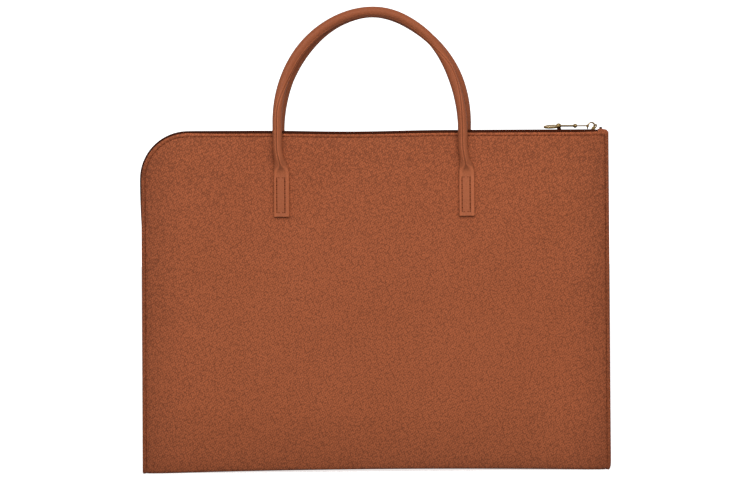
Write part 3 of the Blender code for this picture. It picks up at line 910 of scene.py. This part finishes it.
# The puller
# A gold stirrup of bent wire hinges in the lug. From its crossbar runs a turned rod with a bead, a ball
# and an oval finger plate, and a short prong points down to lock the slider.
PIVOT_FROM_SLIDER_END = 0.0003
PIVOT_HEIGHT = 0.0049
WIRE = 0.0009
HINGE_CLEARANCE = 0.0003
LUG_WIDTH = 0.0020
STIRRUP_LENGTH = 0.0064
STIRRUP_RISE = 0.0028
PRONG_LENGTH = 0.0026
ROD = 0.0016
THIN_ROD = 0.0011
ROD_LENGTH = 0.0236
BEAD = 0.0036
BEAD_AT = 0.0102
BALL = 0.0044
TAB_SIZE = (0.0147, 0.0090, 0.0018)
TAB_TILT = 18.0
TAB_DIP = 3.0
TAB_CROWN = (0.90, 0.86, 1.0)
TAB_RIM = 0.0011
TAB_BEVEL = 0.0012
TAB_HOLLOW = 0.00008
KNUCKLE_SIZE = (0.0019, 0.0034, 0.0020)
PRONG_INSET = 0.0004
PRONG_SLIMMING = (1.0, 0.35, 1.0)
ARCH_STEPS = 16
TURNED_STEPS = 10
METAL_CREASE = 50.0
KNUCKLE_ROUND = 0.00022
STUD_ROUND = 0.0003
# Width and length of the stud, and how far it stands before the middle of the ball
STUD = (0.0034, 0.0017, 0.0003)

pivot = Vector((ZIP_RIGHT_END_X - SEAM_GAP - PIVOT_FROM_SLIDER_END, 0.0, PANEL_HEIGHT + PIVOT_HEIGHT))
crossbar = pivot - Vector((STIRRUP_LENGTH, 0.0, 0.0))
cheek = LUG_WIDTH / 2 + HINGE_CLEARANCE + WIRE / 2


def finish_gold(piece):
    select_only(piece)
    bpy.ops.object.shade_smooth_by_angle(angle=radians(METAL_CREASE))
    piece.data.materials.append(gold)
    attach(piece, "pull")


arch = []
for step in range(ARCH_STEPS + 1):
    arch.append((-STIRRUP_LENGTH * step / ARCH_STEPS, STIRRUP_RISE * sin(pi * step / ARCH_STEPS)))
drawn = bpy.data.curves.new("wire_stirrup", "CURVE")
drawn.dimensions = "3D"
drawn.bevel_depth = WIRE / 2
drawn.bevel_resolution = 3
bend = drawn.splines.new("POLY")
route = [(x, -cheek, z) for x, z in arch] + [(x, cheek, z) for x, z in reversed(arch)]
bend.points.add(len(route) - 1)
for point, place in zip(bend.points, route):
    point.co = (*(pivot + Vector(place)), 1.0)
bend.use_cyclic_u = True
stirrup = bpy.data.objects.new("wire_stirrup", drawn)
bpy.context.scene.collection.objects.link(stirrup)
select_only(stirrup)
bpy.ops.object.convert(target="MESH")
stirrup = bpy.context.object
finish_gold(stirrup)

knuckle = add_shape(bpy.ops.mesh.primitive_cube_add, "stirrup_knuckle", size=1.0)
size_to(knuckle, KNUCKLE_SIZE, crossbar)
open_edit(knuckle, "FACE")
pick(knuckle, "faces", lambda middle: middle.z < crossbar.z - 0.45 * KNUCKLE_SIZE[2])
bpy.ops.mesh.inset(thickness=PRONG_INSET)
bpy.ops.transform.resize(value=PRONG_SLIMMING, center_override=tuple(crossbar))
prong = (0.0, 0.0, KNUCKLE_SIZE[2] / 2 - PRONG_LENGTH)
bpy.ops.mesh.extrude_region_move(TRANSFORM_OT_translate={"value": prong})
bpy.ops.mesh.select_all(action="SELECT")
bpy.ops.mesh.bevel(offset=KNUCKLE_ROUND, segments=2, affect="EDGES")
close_edit()
finish_gold(knuckle)

turned_rod = add_shape(bpy.ops.mesh.primitive_plane_add, "turned_rod", size=1.0)
profile = [(0.0, 0.0), (THIN_ROD / 2, 0.0)]
for middle, size, before, after in ((BEAD_AT, BEAD, THIN_ROD, ROD), (ROD_LENGTH, BALL, ROD, 0.0)):
    first, last = pi - before / size, after / size
    for step in range(TURNED_STEPS + 1):
        turn = mix(first, last, step / TURNED_STEPS)
        profile.append((size / 2 * sin(turn) if turn > 0 else 0.0, middle + size / 2 * cos(turn)))
open_edit(turned_rod, "VERT")
bpy.ops.mesh.delete(type="VERT")
drawn = bmesh.from_edit_mesh(turned_rod.data)
chain = [drawn.verts.new(crossbar + Vector((-length, 0.0, radius))) for radius, length in profile]
for first, last in zip(chain, chain[1:]):
    drawn.edges.new((first, last))
bmesh.update_edit_mesh(turned_rod.data)
bpy.ops.mesh.select_all(action="SELECT")
bpy.ops.mesh.spin(steps=28, angle=2 * pi, center=tuple(crossbar), axis=(1.0, 0.0, 0.0))
bpy.ops.mesh.select_all(action="SELECT")
bpy.ops.mesh.remove_doubles(threshold=1e-6)
bpy.ops.mesh.normals_make_consistent(inside=False)
close_edit()
finish_gold(turned_rod)

rest_stud = add_shape(
    bpy.ops.mesh.primitive_cylinder_add, "rest_stud", vertices=24, radius=STUD[0] / 2, depth=STUD[1]
)
rest_stud.location = crossbar + Vector((-ROD_LENGTH + STUD[2], 0.0, -BALL / 2 - STUD[1] / 2 + BALL / 10))
bpy.ops.object.transform_apply(location=True, rotation=False, scale=True)
open_edit(rest_stud, "EDGE")
pick(rest_stud, "edges", lambda middle: middle.z < crossbar.z - BALL / 2 - 0.4 * STUD[1])
bpy.ops.mesh.bevel(offset=STUD_ROUND, segments=2, affect="EDGES")
close_edit()
finish_gold(rest_stud)
# The stud takes the dark brass instead of the gold: painted shade, dark as the shade under the ball
rest_stud.data.materials[0] = dark_metal

finger_plate = add_shape(
    bpy.ops.mesh.primitive_cylinder_add, "finger_plate", vertices=32, radius=0.5, depth=1.0
)
size_to(finger_plate, TAB_SIZE)
open_edit(finger_plate, "FACE")
pick(finger_plate, "faces", lambda middle: abs(middle.z) > 0.4 * TAB_SIZE[2])
bpy.ops.transform.resize(value=TAB_CROWN, center_override=(0.0, 0.0, 0.0))
bpy.ops.mesh.inset(thickness=TAB_RIM, use_even_offset=True)
bpy.ops.mesh.inset(thickness=TAB_BEVEL, depth=-TAB_HOLLOW, use_even_offset=True)
close_edit()
subdivide_smooth(finger_plate, 2)
finger_plate.rotation_euler = (radians(TAB_TILT), radians(-TAB_DIP), 0.0)
finger_plate.location = crossbar + Vector((-ROD_LENGTH - TAB_SIZE[0] / 2 + BALL / 3, 0.0, -TAB_SIZE[2] / 3))
select_only(finger_plate)
bpy.ops.object.transform_apply(location=True, rotation=True, scale=True)
finish_gold(finger_plate)
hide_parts("puller")

# The handles
# Each is a strap of smooth hide rolled round a cord and closed by a seam, with its two ends left flat. The
# lips of the seam run down the front of the legs and spread out into the edges of the flat ends.
HANDLE_SPREAD = 0.1504
HANDLE_X = -0.0008
HANDLE_TOP_Z = 0.3762
ARC_START_Z = 0.2790
TUBE = 0.0078
SEWN_BOTTOM_Z = 0.2062
SEWN_LENGTH = 0.0334
SEWN_WIDTH = 0.0125
SEWN_THICKNESS = 0.0024
NECKING = 0.0160
# The legs leave the line of the flat ends over this length
LEG_BLEND = 1.5 * NECKING
FRONT_LEG_SWAY = -0.0037
BACK_LEG_SWAY = -0.0005
FRONT_LEG_WIDEN = -0.0005
BACK_LEG_WIDEN = 0.0011
# Shares of the arch's height: where the widening of the legs ends, and over how much it fades
WIDEN_UNTIL = 0.78
WIDEN_FADE = 0.38
RIGHT_END_SHIFT = -0.0012
ARC_SWAY = 0.0008
APEX_SWAY = -0.0006
BACK_TOP_DROP = 0.0008
BACK_APEX_RAISE = 0.0010
SHOULDER_DROP = 0.0010
SHOULDER_TURN = 62.0
# How far round the arch, in radians, the drop of the shoulder and the raise of the apex reach
SHOULDER_REACH = 0.27
APEX_REACH = 0.26
ARCH_MIDDLE_Z = 0.31
HANDLES_APART = 0.0012
RING_POINTS = 96
HANDLE_CREASE = 50.0
# Rings of points along the flat end, the neck, the leg and the arch, with closer ones at the foot
FOOT_RINGS = (0.0, 0.0002, 0.0006)
FLAT_START = 0.0014
FLAT_RINGS = 24
NECK_RINGS = 14
LEG_RINGS = 9
ARC_RINGS = 72
LIP_WIDTH = 0.00045
LIP_HEIGHT = 0.00032
LIP_APART = 0.00090
LIP_INSET = 0.0010
FLAT_MARK = 0.0006
SEAM_REACH = 0.0050
SEAM_DEPTH = 0.00040
CORNER_ROUND = 0.0007
TAB_SEAM_LEFT = -0.00385
TAB_SEAM_RIGHT = 0.00265
TAB_SEAM_FOOT = 0.0033
TAB_SEAM_HEAD = 0.0313
TAB_GROOVE = 0.00035
TAB_GROOVE_WIDTH = 0.0006
TAB_GROOVE_PAST = 0.0004
# How far the seam has turned round the tube, in degrees towards the inside of the arch, along the handle
FRONT_SEAM_TURNS = (
    (0.0, 0.0), (0.07, 4.0), (0.13, -12.0), (0.20, -10.0), (0.30, 62.0), (0.50, 95.0),
    (0.62, 70.0), (0.72, -35.0), (0.82, 6.0), (0.92, 6.0), (1.0, 0.0),
)


def hump(distance, width):
    return exp(-((distance / width) ** 2))


def round_share(z):
    return smooth((z - SEWN_BOTTOM_Z - SEWN_LENGTH) / NECKING)


def handle_middle_x(z, leg_sway, arc_sway):
    legs = leg_sway * smooth((z - SEWN_BOTTOM_Z - SEWN_LENGTH) / LEG_BLEND)
    over_arc = max(0.0, (z - ARC_START_Z) / (HANDLE_TOP_Z - TUBE / 2 - ARC_START_Z))
    return HANDLE_X + mix(legs, APEX_SWAY, over_arc**3) + arc_sway * sin(pi * over_arc)


def handle_off(x, z):
    """How far the strap's middle stands off the middle plane of the case."""
    round_z = SEWN_BOTTOM_Z + SEWN_LENGTH + NECKING
    apex_z = HANDLE_TOP_Z - TUBE / 2
    seated_z = min(z, round_z)
    half_thick = mix(SEWN_THICKNESS, TUBE, round_share(seated_z)) / 2
    seated = face_y(x, seated_z) + SEAM_GAP + half_thick
    return mix(seated, (TUBE + HANDLES_APART) / 2, max(0.0, (z - round_z) / (apex_z - round_z)))


def handle_stations(front):
    """(middle, share of round, place along it from 0 to 1) from the left sewn end to the right one."""
    side = -1 if front else 1
    leg_sway = FRONT_LEG_SWAY if front else BACK_LEG_SWAY
    apex_z = HANDLE_TOP_Z - TUBE / 2 - (0.0 if front else BACK_TOP_DROP)
    sewn_top = SEWN_BOTTOM_Z + SEWN_LENGTH
    round_z = sewn_top + NECKING
    leg = [SEWN_BOTTOM_Z + offset for offset in FOOT_RINGS]
    leg += [mix(SEWN_BOTTOM_Z + FLAT_START, sewn_top, step / FLAT_RINGS) for step in range(FLAT_RINGS + 1)]
    leg += [mix(sewn_top, round_z, step / NECK_RINGS) for step in range(1, NECK_RINGS + 1)]
    leg += [mix(round_z, ARC_START_Z, step / LEG_RINGS) for step in range(1, LEG_RINGS)]
    arc = [pi * step / ARC_RINGS for step in range(ARC_RINGS, -1, -1)]
    places = [(-HANDLE_SPREAD / 2, z) for z in leg]
    for turn in arc:
        z = mix(ARC_START_Z, apex_z, sin(turn))
        z -= SHOULDER_DROP * hump(turn - radians(SHOULDER_TURN), SHOULDER_REACH)
        if not front:
            z += BACK_APEX_RAISE * hump(turn - pi / 2, APEX_REACH)
        places.append((HANDLE_SPREAD / 2 * cos(turn), z))
    places += [(HANDLE_SPREAD / 2, z) for z in reversed(leg)]
    middles = []
    for across, z in places:
        over_arc = max(0.0, (z - ARC_START_Z) / (apex_z - ARC_START_Z))
        free = smooth((z - sewn_top) / LEG_BLEND) * smooth((WIDEN_UNTIL - over_arc) / WIDEN_FADE)
        across += (FRONT_LEG_WIDEN if front else BACK_LEG_WIDEN) * free * (1 if across > 0 else -1)
        if front and across > 0:
            across += RIGHT_END_SHIFT * (1 - smooth((z - sewn_top) / LEG_BLEND))
        x = handle_middle_x(z, leg_sway, side * ARC_SWAY) + across
        middles.append(Vector((x, side * handle_off(x, z), z)))
    lengths = [0.0]
    for before, after in zip(middles, middles[1:]):
        lengths.append(lengths[-1] + (after - before).length)
    travels = [length / lengths[-1] for length in lengths]
    return [(middle, round_share(middle.z), travel) for middle, travel in zip(middles, travels)]


def on_flat_section(travel):
    """(across, outward, normal across, normal outward) at a share of the way round the strap."""
    half_wide, half_thick = SEWN_WIDTH / 2 - CORNER_ROUND, SEWN_THICKNESS / 2 - CORNER_ROUND
    turn_length = CORNER_ROUND * pi / 2
    around = 4 * half_wide + 4 * half_thick + 4 * turn_length
    travel = (travel * around + around / 2) % around - around / 2
    sign = -1 if travel < 0 else 1
    travel = abs(travel)

    def on_corner(centre, aside, out):
        return sign * (half_wide + CORNER_ROUND * aside), centre + CORNER_ROUND * out, sign * aside, out

    if travel < half_wide:
        return sign * travel, half_thick + CORNER_ROUND, 0.0, 1.0
    travel -= half_wide
    if travel < turn_length:
        turn = travel / CORNER_ROUND
        return on_corner(half_thick, sin(turn), cos(turn))
    travel -= turn_length
    if travel < 2 * half_thick:
        return sign * (half_wide + CORNER_ROUND), half_thick - travel, sign, 0.0
    travel -= 2 * half_thick
    if travel < turn_length:
        turn = travel / CORNER_ROUND
        return on_corner(-half_thick, cos(turn), -sin(turn))
    travel -= turn_length
    return sign * (half_wide - travel), -half_thick - CORNER_ROUND, 0.0, -1.0


def seam_turn(share):
    for (start, first), (end, last) in zip(FRONT_SEAM_TURNS, FRONT_SEAM_TURNS[1:]):
        if share <= end:
            return radians(mix(first, last, smooth((share - start) / (end - start))))
    return 0.0


def lip_spread(roundness):
    """How far each lip lies from the seam: at the rims of the flat end, and close together on the tube."""
    return mix(SEWN_WIDTH / 2 - LIP_INSET, LIP_APART, smooth(roundness * 1.6))


def seam_relief(around, roundness):
    """The lips and the groove of the rolled seam. around is the distance from the seam round the tube."""
    spread = lip_spread(roundness)
    lips = LIP_HEIGHT * (hump(around - spread, LIP_WIDTH) + hump(around + spread, LIP_WIDTH))
    groove = SEAM_DEPTH * hump(around, LIP_APART * 0.5) * smooth((roundness - 0.35) / 0.4)
    return lips - groove


def tab_relief(across, up):
    """The stitched line presses a shallow groove into the flat end."""
    depths = [0.0]
    if TAB_SEAM_FOOT - TAB_GROOVE_PAST < up < TAB_SEAM_HEAD + TAB_GROOVE_PAST:
        depths += [hump(across - line, TAB_GROOVE_WIDTH) for line in (TAB_SEAM_LEFT, TAB_SEAM_RIGHT)]
    if TAB_SEAM_LEFT - TAB_GROOVE_PAST < across < TAB_SEAM_RIGHT + TAB_GROOVE_PAST:
        depths += [hump(up - line, TAB_GROOVE_WIDTH) for line in (TAB_SEAM_FOOT, TAB_SEAM_HEAD)]
    return -TAB_GROOVE * max(depths)


def make_rolled_handle(name, front):
    stations = handle_stations(front)
    side = -1 if front else 1
    rows = len(stations) - 1
    handle = add_shape(
        bpy.ops.mesh.primitive_grid_add, name, x_subdivisions=RING_POINTS, y_subdivisions=rows, size=1.0
    )
    rings = []
    marks = []
    for index, (middle, roundness, travel) in enumerate(stations):
        before = stations[max(index - 1, 0)][0]
        after = stations[min(index + 1, rows)][0]
        along = (after - before).normalized()
        inward = Vector((0.0, 1.0, 0.0)).cross(along).normalized()
        outward = along.cross(inward).normalized()
        if outward.y * side < 0:
            outward = -outward
        # Towards the inside of the arch, which is +X on the left leg
        if inward.dot(Vector((0.0, 0.0, ARCH_MIDDLE_Z)) - middle) < 0:
            inward = -inward
        up = middle.z - SEWN_BOTTOM_Z
        on_left = middle.x < HANDLE_X
        ring = []
        mark = []
        for step in range(RING_POINTS):
            share = step / RING_POINTS
            turn = 2 * pi * share
            flat_across, flat_out, normal_across, normal_out = on_flat_section(share)
            across = mix(flat_across, TUBE / 2 * sin(turn), roundness)
            out = mix(flat_out, TUBE / 2 * cos(turn), roundness)
            normal_across = mix(normal_across, sin(turn), roundness)
            normal_out = mix(normal_out, cos(turn), roundness)
            from_seam = (turn - seam_turn(travel) + pi) % (2 * pi) - pi
            around = mix(flat_across if normal_out > 0.5 else 1.0, TUBE / 2 * from_seam, roundness)
            relief = seam_relief(around, roundness)
            if roundness < 0.5 and normal_out > 0.5:
                relief += tab_relief(flat_across if on_left else -flat_across, up)
            across += normal_across * relief
            out += normal_out * relief
            ring.append(middle + inward * across + outward * out)
            # The distance from the seam sets the painted shade and highlight of the seam in the UV layer
            beside = abs(around) * LIP_APART / lip_spread(roundness)
            beside = max(beside, FLAT_MARK * (1 - smooth(roundness / 0.5)))
            mark.append(min(1.0, beside / SEAM_REACH))
        rings.append(ring)
        marks.append(mark)
    layer = handle.data.uv_layers.new(name="seam")
    spots = []
    for vert in handle.data.vertices:
        column = round((vert.co.x + 0.5) * RING_POINTS) % RING_POINTS
        spots.append((round((vert.co.y + 0.5) * rows), column))
    for loop in handle.data.loops:
        row, column = spots[loop.vertex_index]
        layer.data[loop.index].uv = (marks[row][column], 0.0)
    for vert, (row, column) in zip(handle.data.vertices, spots):
        vert.co = rings[row][column]
    open_edit(handle)
    bpy.ops.mesh.select_all(action="SELECT")
    bpy.ops.mesh.remove_doubles(threshold=1e-6)
    bpy.ops.mesh.select_non_manifold(extend=False)
    bpy.ops.mesh.edge_face_add()
    bpy.ops.mesh.select_all(action="SELECT")
    bpy.ops.mesh.normals_make_consistent(inside=False)
    close_edit()
    handle.data.shade_smooth()
    handle.data.set_sharp_from_angle(angle=radians(HANDLE_CREASE))
    handle.data.materials.append(handle_leather)
    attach(handle, "case")
    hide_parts(name.replace("rolled_", "") + "_handle")


handle_leather = leather_material(
    "tan handle leather", (0.318, 0.092, 0.038), (0.268, 0.073, 0.029), 0.0011, 0.00007, 0.42, 0.25
)
beside = add_node(handle_leather, "UVMap")
beside.uv_map = "seam"
split = add_node(handle_leather, "SeparateXYZ")
link(handle_leather, beside.outputs["UV"], split.inputs[0])
# Painted shade in the groove of the rolled seam and painted highlight on its lips, over the distance from it
stops = (0.0, 0.62), (0.08, 0.86), (0.15, 1.34), (0.22, 1.30), (0.34, 1.0)
tint(handle_leather, add_ramp(handle_leather, split.outputs["X"], *stops))
make_rolled_handle("rolled_front", True)
make_rolled_handle("rolled_back", False)

# The seams of the flat ends
# Every flat end is sewn to its panel by a tall box of the same brown thread.
TAB_STITCH_PROUD = 0.2
TAB_HOLE_RAISE = 0.0001
TAB_HOLE_SIZE = 1.5


def sew_flat_end(name, side, leg):
    """leg is -1 for the left one."""
    x = handle_middle_x(SEWN_BOTTOM_Z, 0.0, 0.0) + leg * HANDLE_SPREAD / 2
    if side < 0 and leg > 0:
        x += RIGHT_END_SHIFT
    foot, head = SEWN_BOTTOM_Z + TAB_SEAM_FOOT, SEWN_BOTTOM_Z + TAB_SEAM_HEAD
    left, right = x + TAB_SEAM_LEFT, x + TAB_SEAM_RIGHT
    corners = ((left, foot), (left, head), (right, head), (right, foot))
    stitches = []
    holes = []
    for (first_x, first_z), (last_x, last_z) in zip(corners, corners[1:] + corners[:1]):
        length = hypot(last_x - first_x, last_z - first_z)
        count = round(length / STITCH_PITCH)
        for step in range(count):
            ends = []
            for share in (step / count, (step + 1) / count):
                px, pz = mix(first_x, last_x, share), mix(first_z, last_z, share)
                ends.append(Vector((px, side * (handle_off(x, pz) + SEWN_THICKNESS / 2 - TAB_GROOVE), pz)))
            outward = Vector((0.0, side, 0.0))
            along = (ends[1] - ends[0]).normalized()
            seated = (ends[0] + ends[1]) / 2 + outward * STITCH_WIDTH * TAB_STITCH_PROUD
            stitches.append(facing(seated, along, outward))
            pierced = facing(ends[0] + outward * TAB_HOLE_RAISE, along, outward)
            # The holes of the flat ends are laid larger, so more of their painted shade shows
            holes.append(pierced @ Matrix.Scale(TAB_HOLE_SIZE, 4))
    sew(name, stitches, holes)


for side_name, side in (("front", -1), ("back", 1)):
    for leg_name, leg in (("left", -1), ("right", 1)):
        sew_flat_end(f"{side_name}_{leg_name}_end", side, leg)
for pattern in (stitch, hole, tooth):
    bpy.data.objects.remove(pattern, do_unlink=True)

# The studio
# A pale floor that runs into a white surround, a broad soft light above the front, two small ones that put
# sparks on the metal, and a long lens at half the height of the case, a little to the left and tilted.
FLOOR_RADIUS = 14.0
SURROUND_RADIUS = 13.0
CAMERA_DISTANCE = 1.60
CAMERA_YAW = 1.50
CAMERA_ROLL = 0.34
CAMERA_AIM = (-0.0007, 0.0, 0.1871)
VIEW_WIDTH = 0.6090
SENSOR = 36.0

disc = bpy.ops.mesh.primitive_circle_add
floor = add_shape(disc, "floor", vertices=96, radius=FLOOR_RADIUS, fill_type="NGON")
made, shader, _ = speckled_material("pale floor", 3.0, 2.0, (0.3, 0.86), (0.7, 0.90))
set_inputs(shader, Roughness=0.9, Emission_Color=(1.0, 1.0, 1.0, 1.0), Emission_Strength=0.76)
floor.data.materials.append(made)
floor.visible_diffuse = False
floor.visible_glossy = False

ball = bpy.ops.mesh.primitive_uv_sphere_add
surround = add_shape(ball, "white_surround", segments=48, ring_count=24, radius=SURROUND_RADIUS)
made, shader = start_material("white surround")
place = add_node(made, "TexCoord").outputs["Object"]
cloud = add_noise(made, place, Scale=0.2, Detail=1.0)
link(made, add_ramp(made, cloud, (0.3, 0.98), (0.7, 1.0)), shader.inputs["Emission Color"])
set_inputs(shader, Emission_Strength=1.15, Base_Color=(0.9, 0.9, 0.9, 1.0))
surround.data.materials.append(made)
surround.visible_diffuse = False
surround.visible_glossy = False
surround.visible_shadow = False

world = bpy.data.worlds.new("studio")
bpy.context.scene.world = world
world.use_nodes = True
set_inputs(world.node_tree.nodes["Background"], Color=(1.0, 1.0, 1.0, 1.0), Strength=0.36)


def soft_light(name, place, size, power, aim):
    """A rectangular lamp of this size in metres and power in watts, turned to its aim."""
    lamp = bpy.data.lights.new(name, "AREA")
    lamp.shape = "RECTANGLE"
    lamp.size, lamp.size_y = size
    lamp.energy = power
    placed = bpy.data.objects.new(name, lamp)
    placed.location = place
    placed.rotation_euler = (Vector(aim) - Vector(place)).to_track_quat("-Z", "Y").to_euler()
    bpy.context.scene.collection.objects.link(placed)
    return placed


front_light = soft_light("upper_front_light", (0.15, -1.7, 1.05), (2.2, 1.2), 34.5, (0.0, 0.0, 0.18))
front_light.visible_glossy = False
soft_light("spark_light", (-0.5, -1.6, 1.2), (0.30, 0.20), 4.0, (0.1, 0.0, 0.25))
soft_light("rear_spark_light", (0.2, 1.5, 0.95), (0.6, 0.3), 0.9, (0.15, 0.0, 0.28))

camera = bpy.data.objects.new("camera", bpy.data.cameras.new("camera"))
bpy.context.scene.collection.objects.link(camera)
yaw = radians(CAMERA_YAW)
aim = Vector(CAMERA_AIM)
camera.location = aim + Vector((-sin(yaw), -cos(yaw), 0.0)) * CAMERA_DISTANCE
look = (aim - camera.location).to_track_quat("-Z", "Y").to_matrix().to_4x4()
camera.rotation_euler = (look @ Matrix.Rotation(radians(-CAMERA_ROLL), 4, "Z")).to_euler()
camera.data.sensor_width = SENSOR
camera.data.lens = SENSOR * CAMERA_DISTANCE / VIEW_WIDTH
bpy.context.scene.camera = camera
bpy.context.scene.view_settings.view_transform = "Standard"
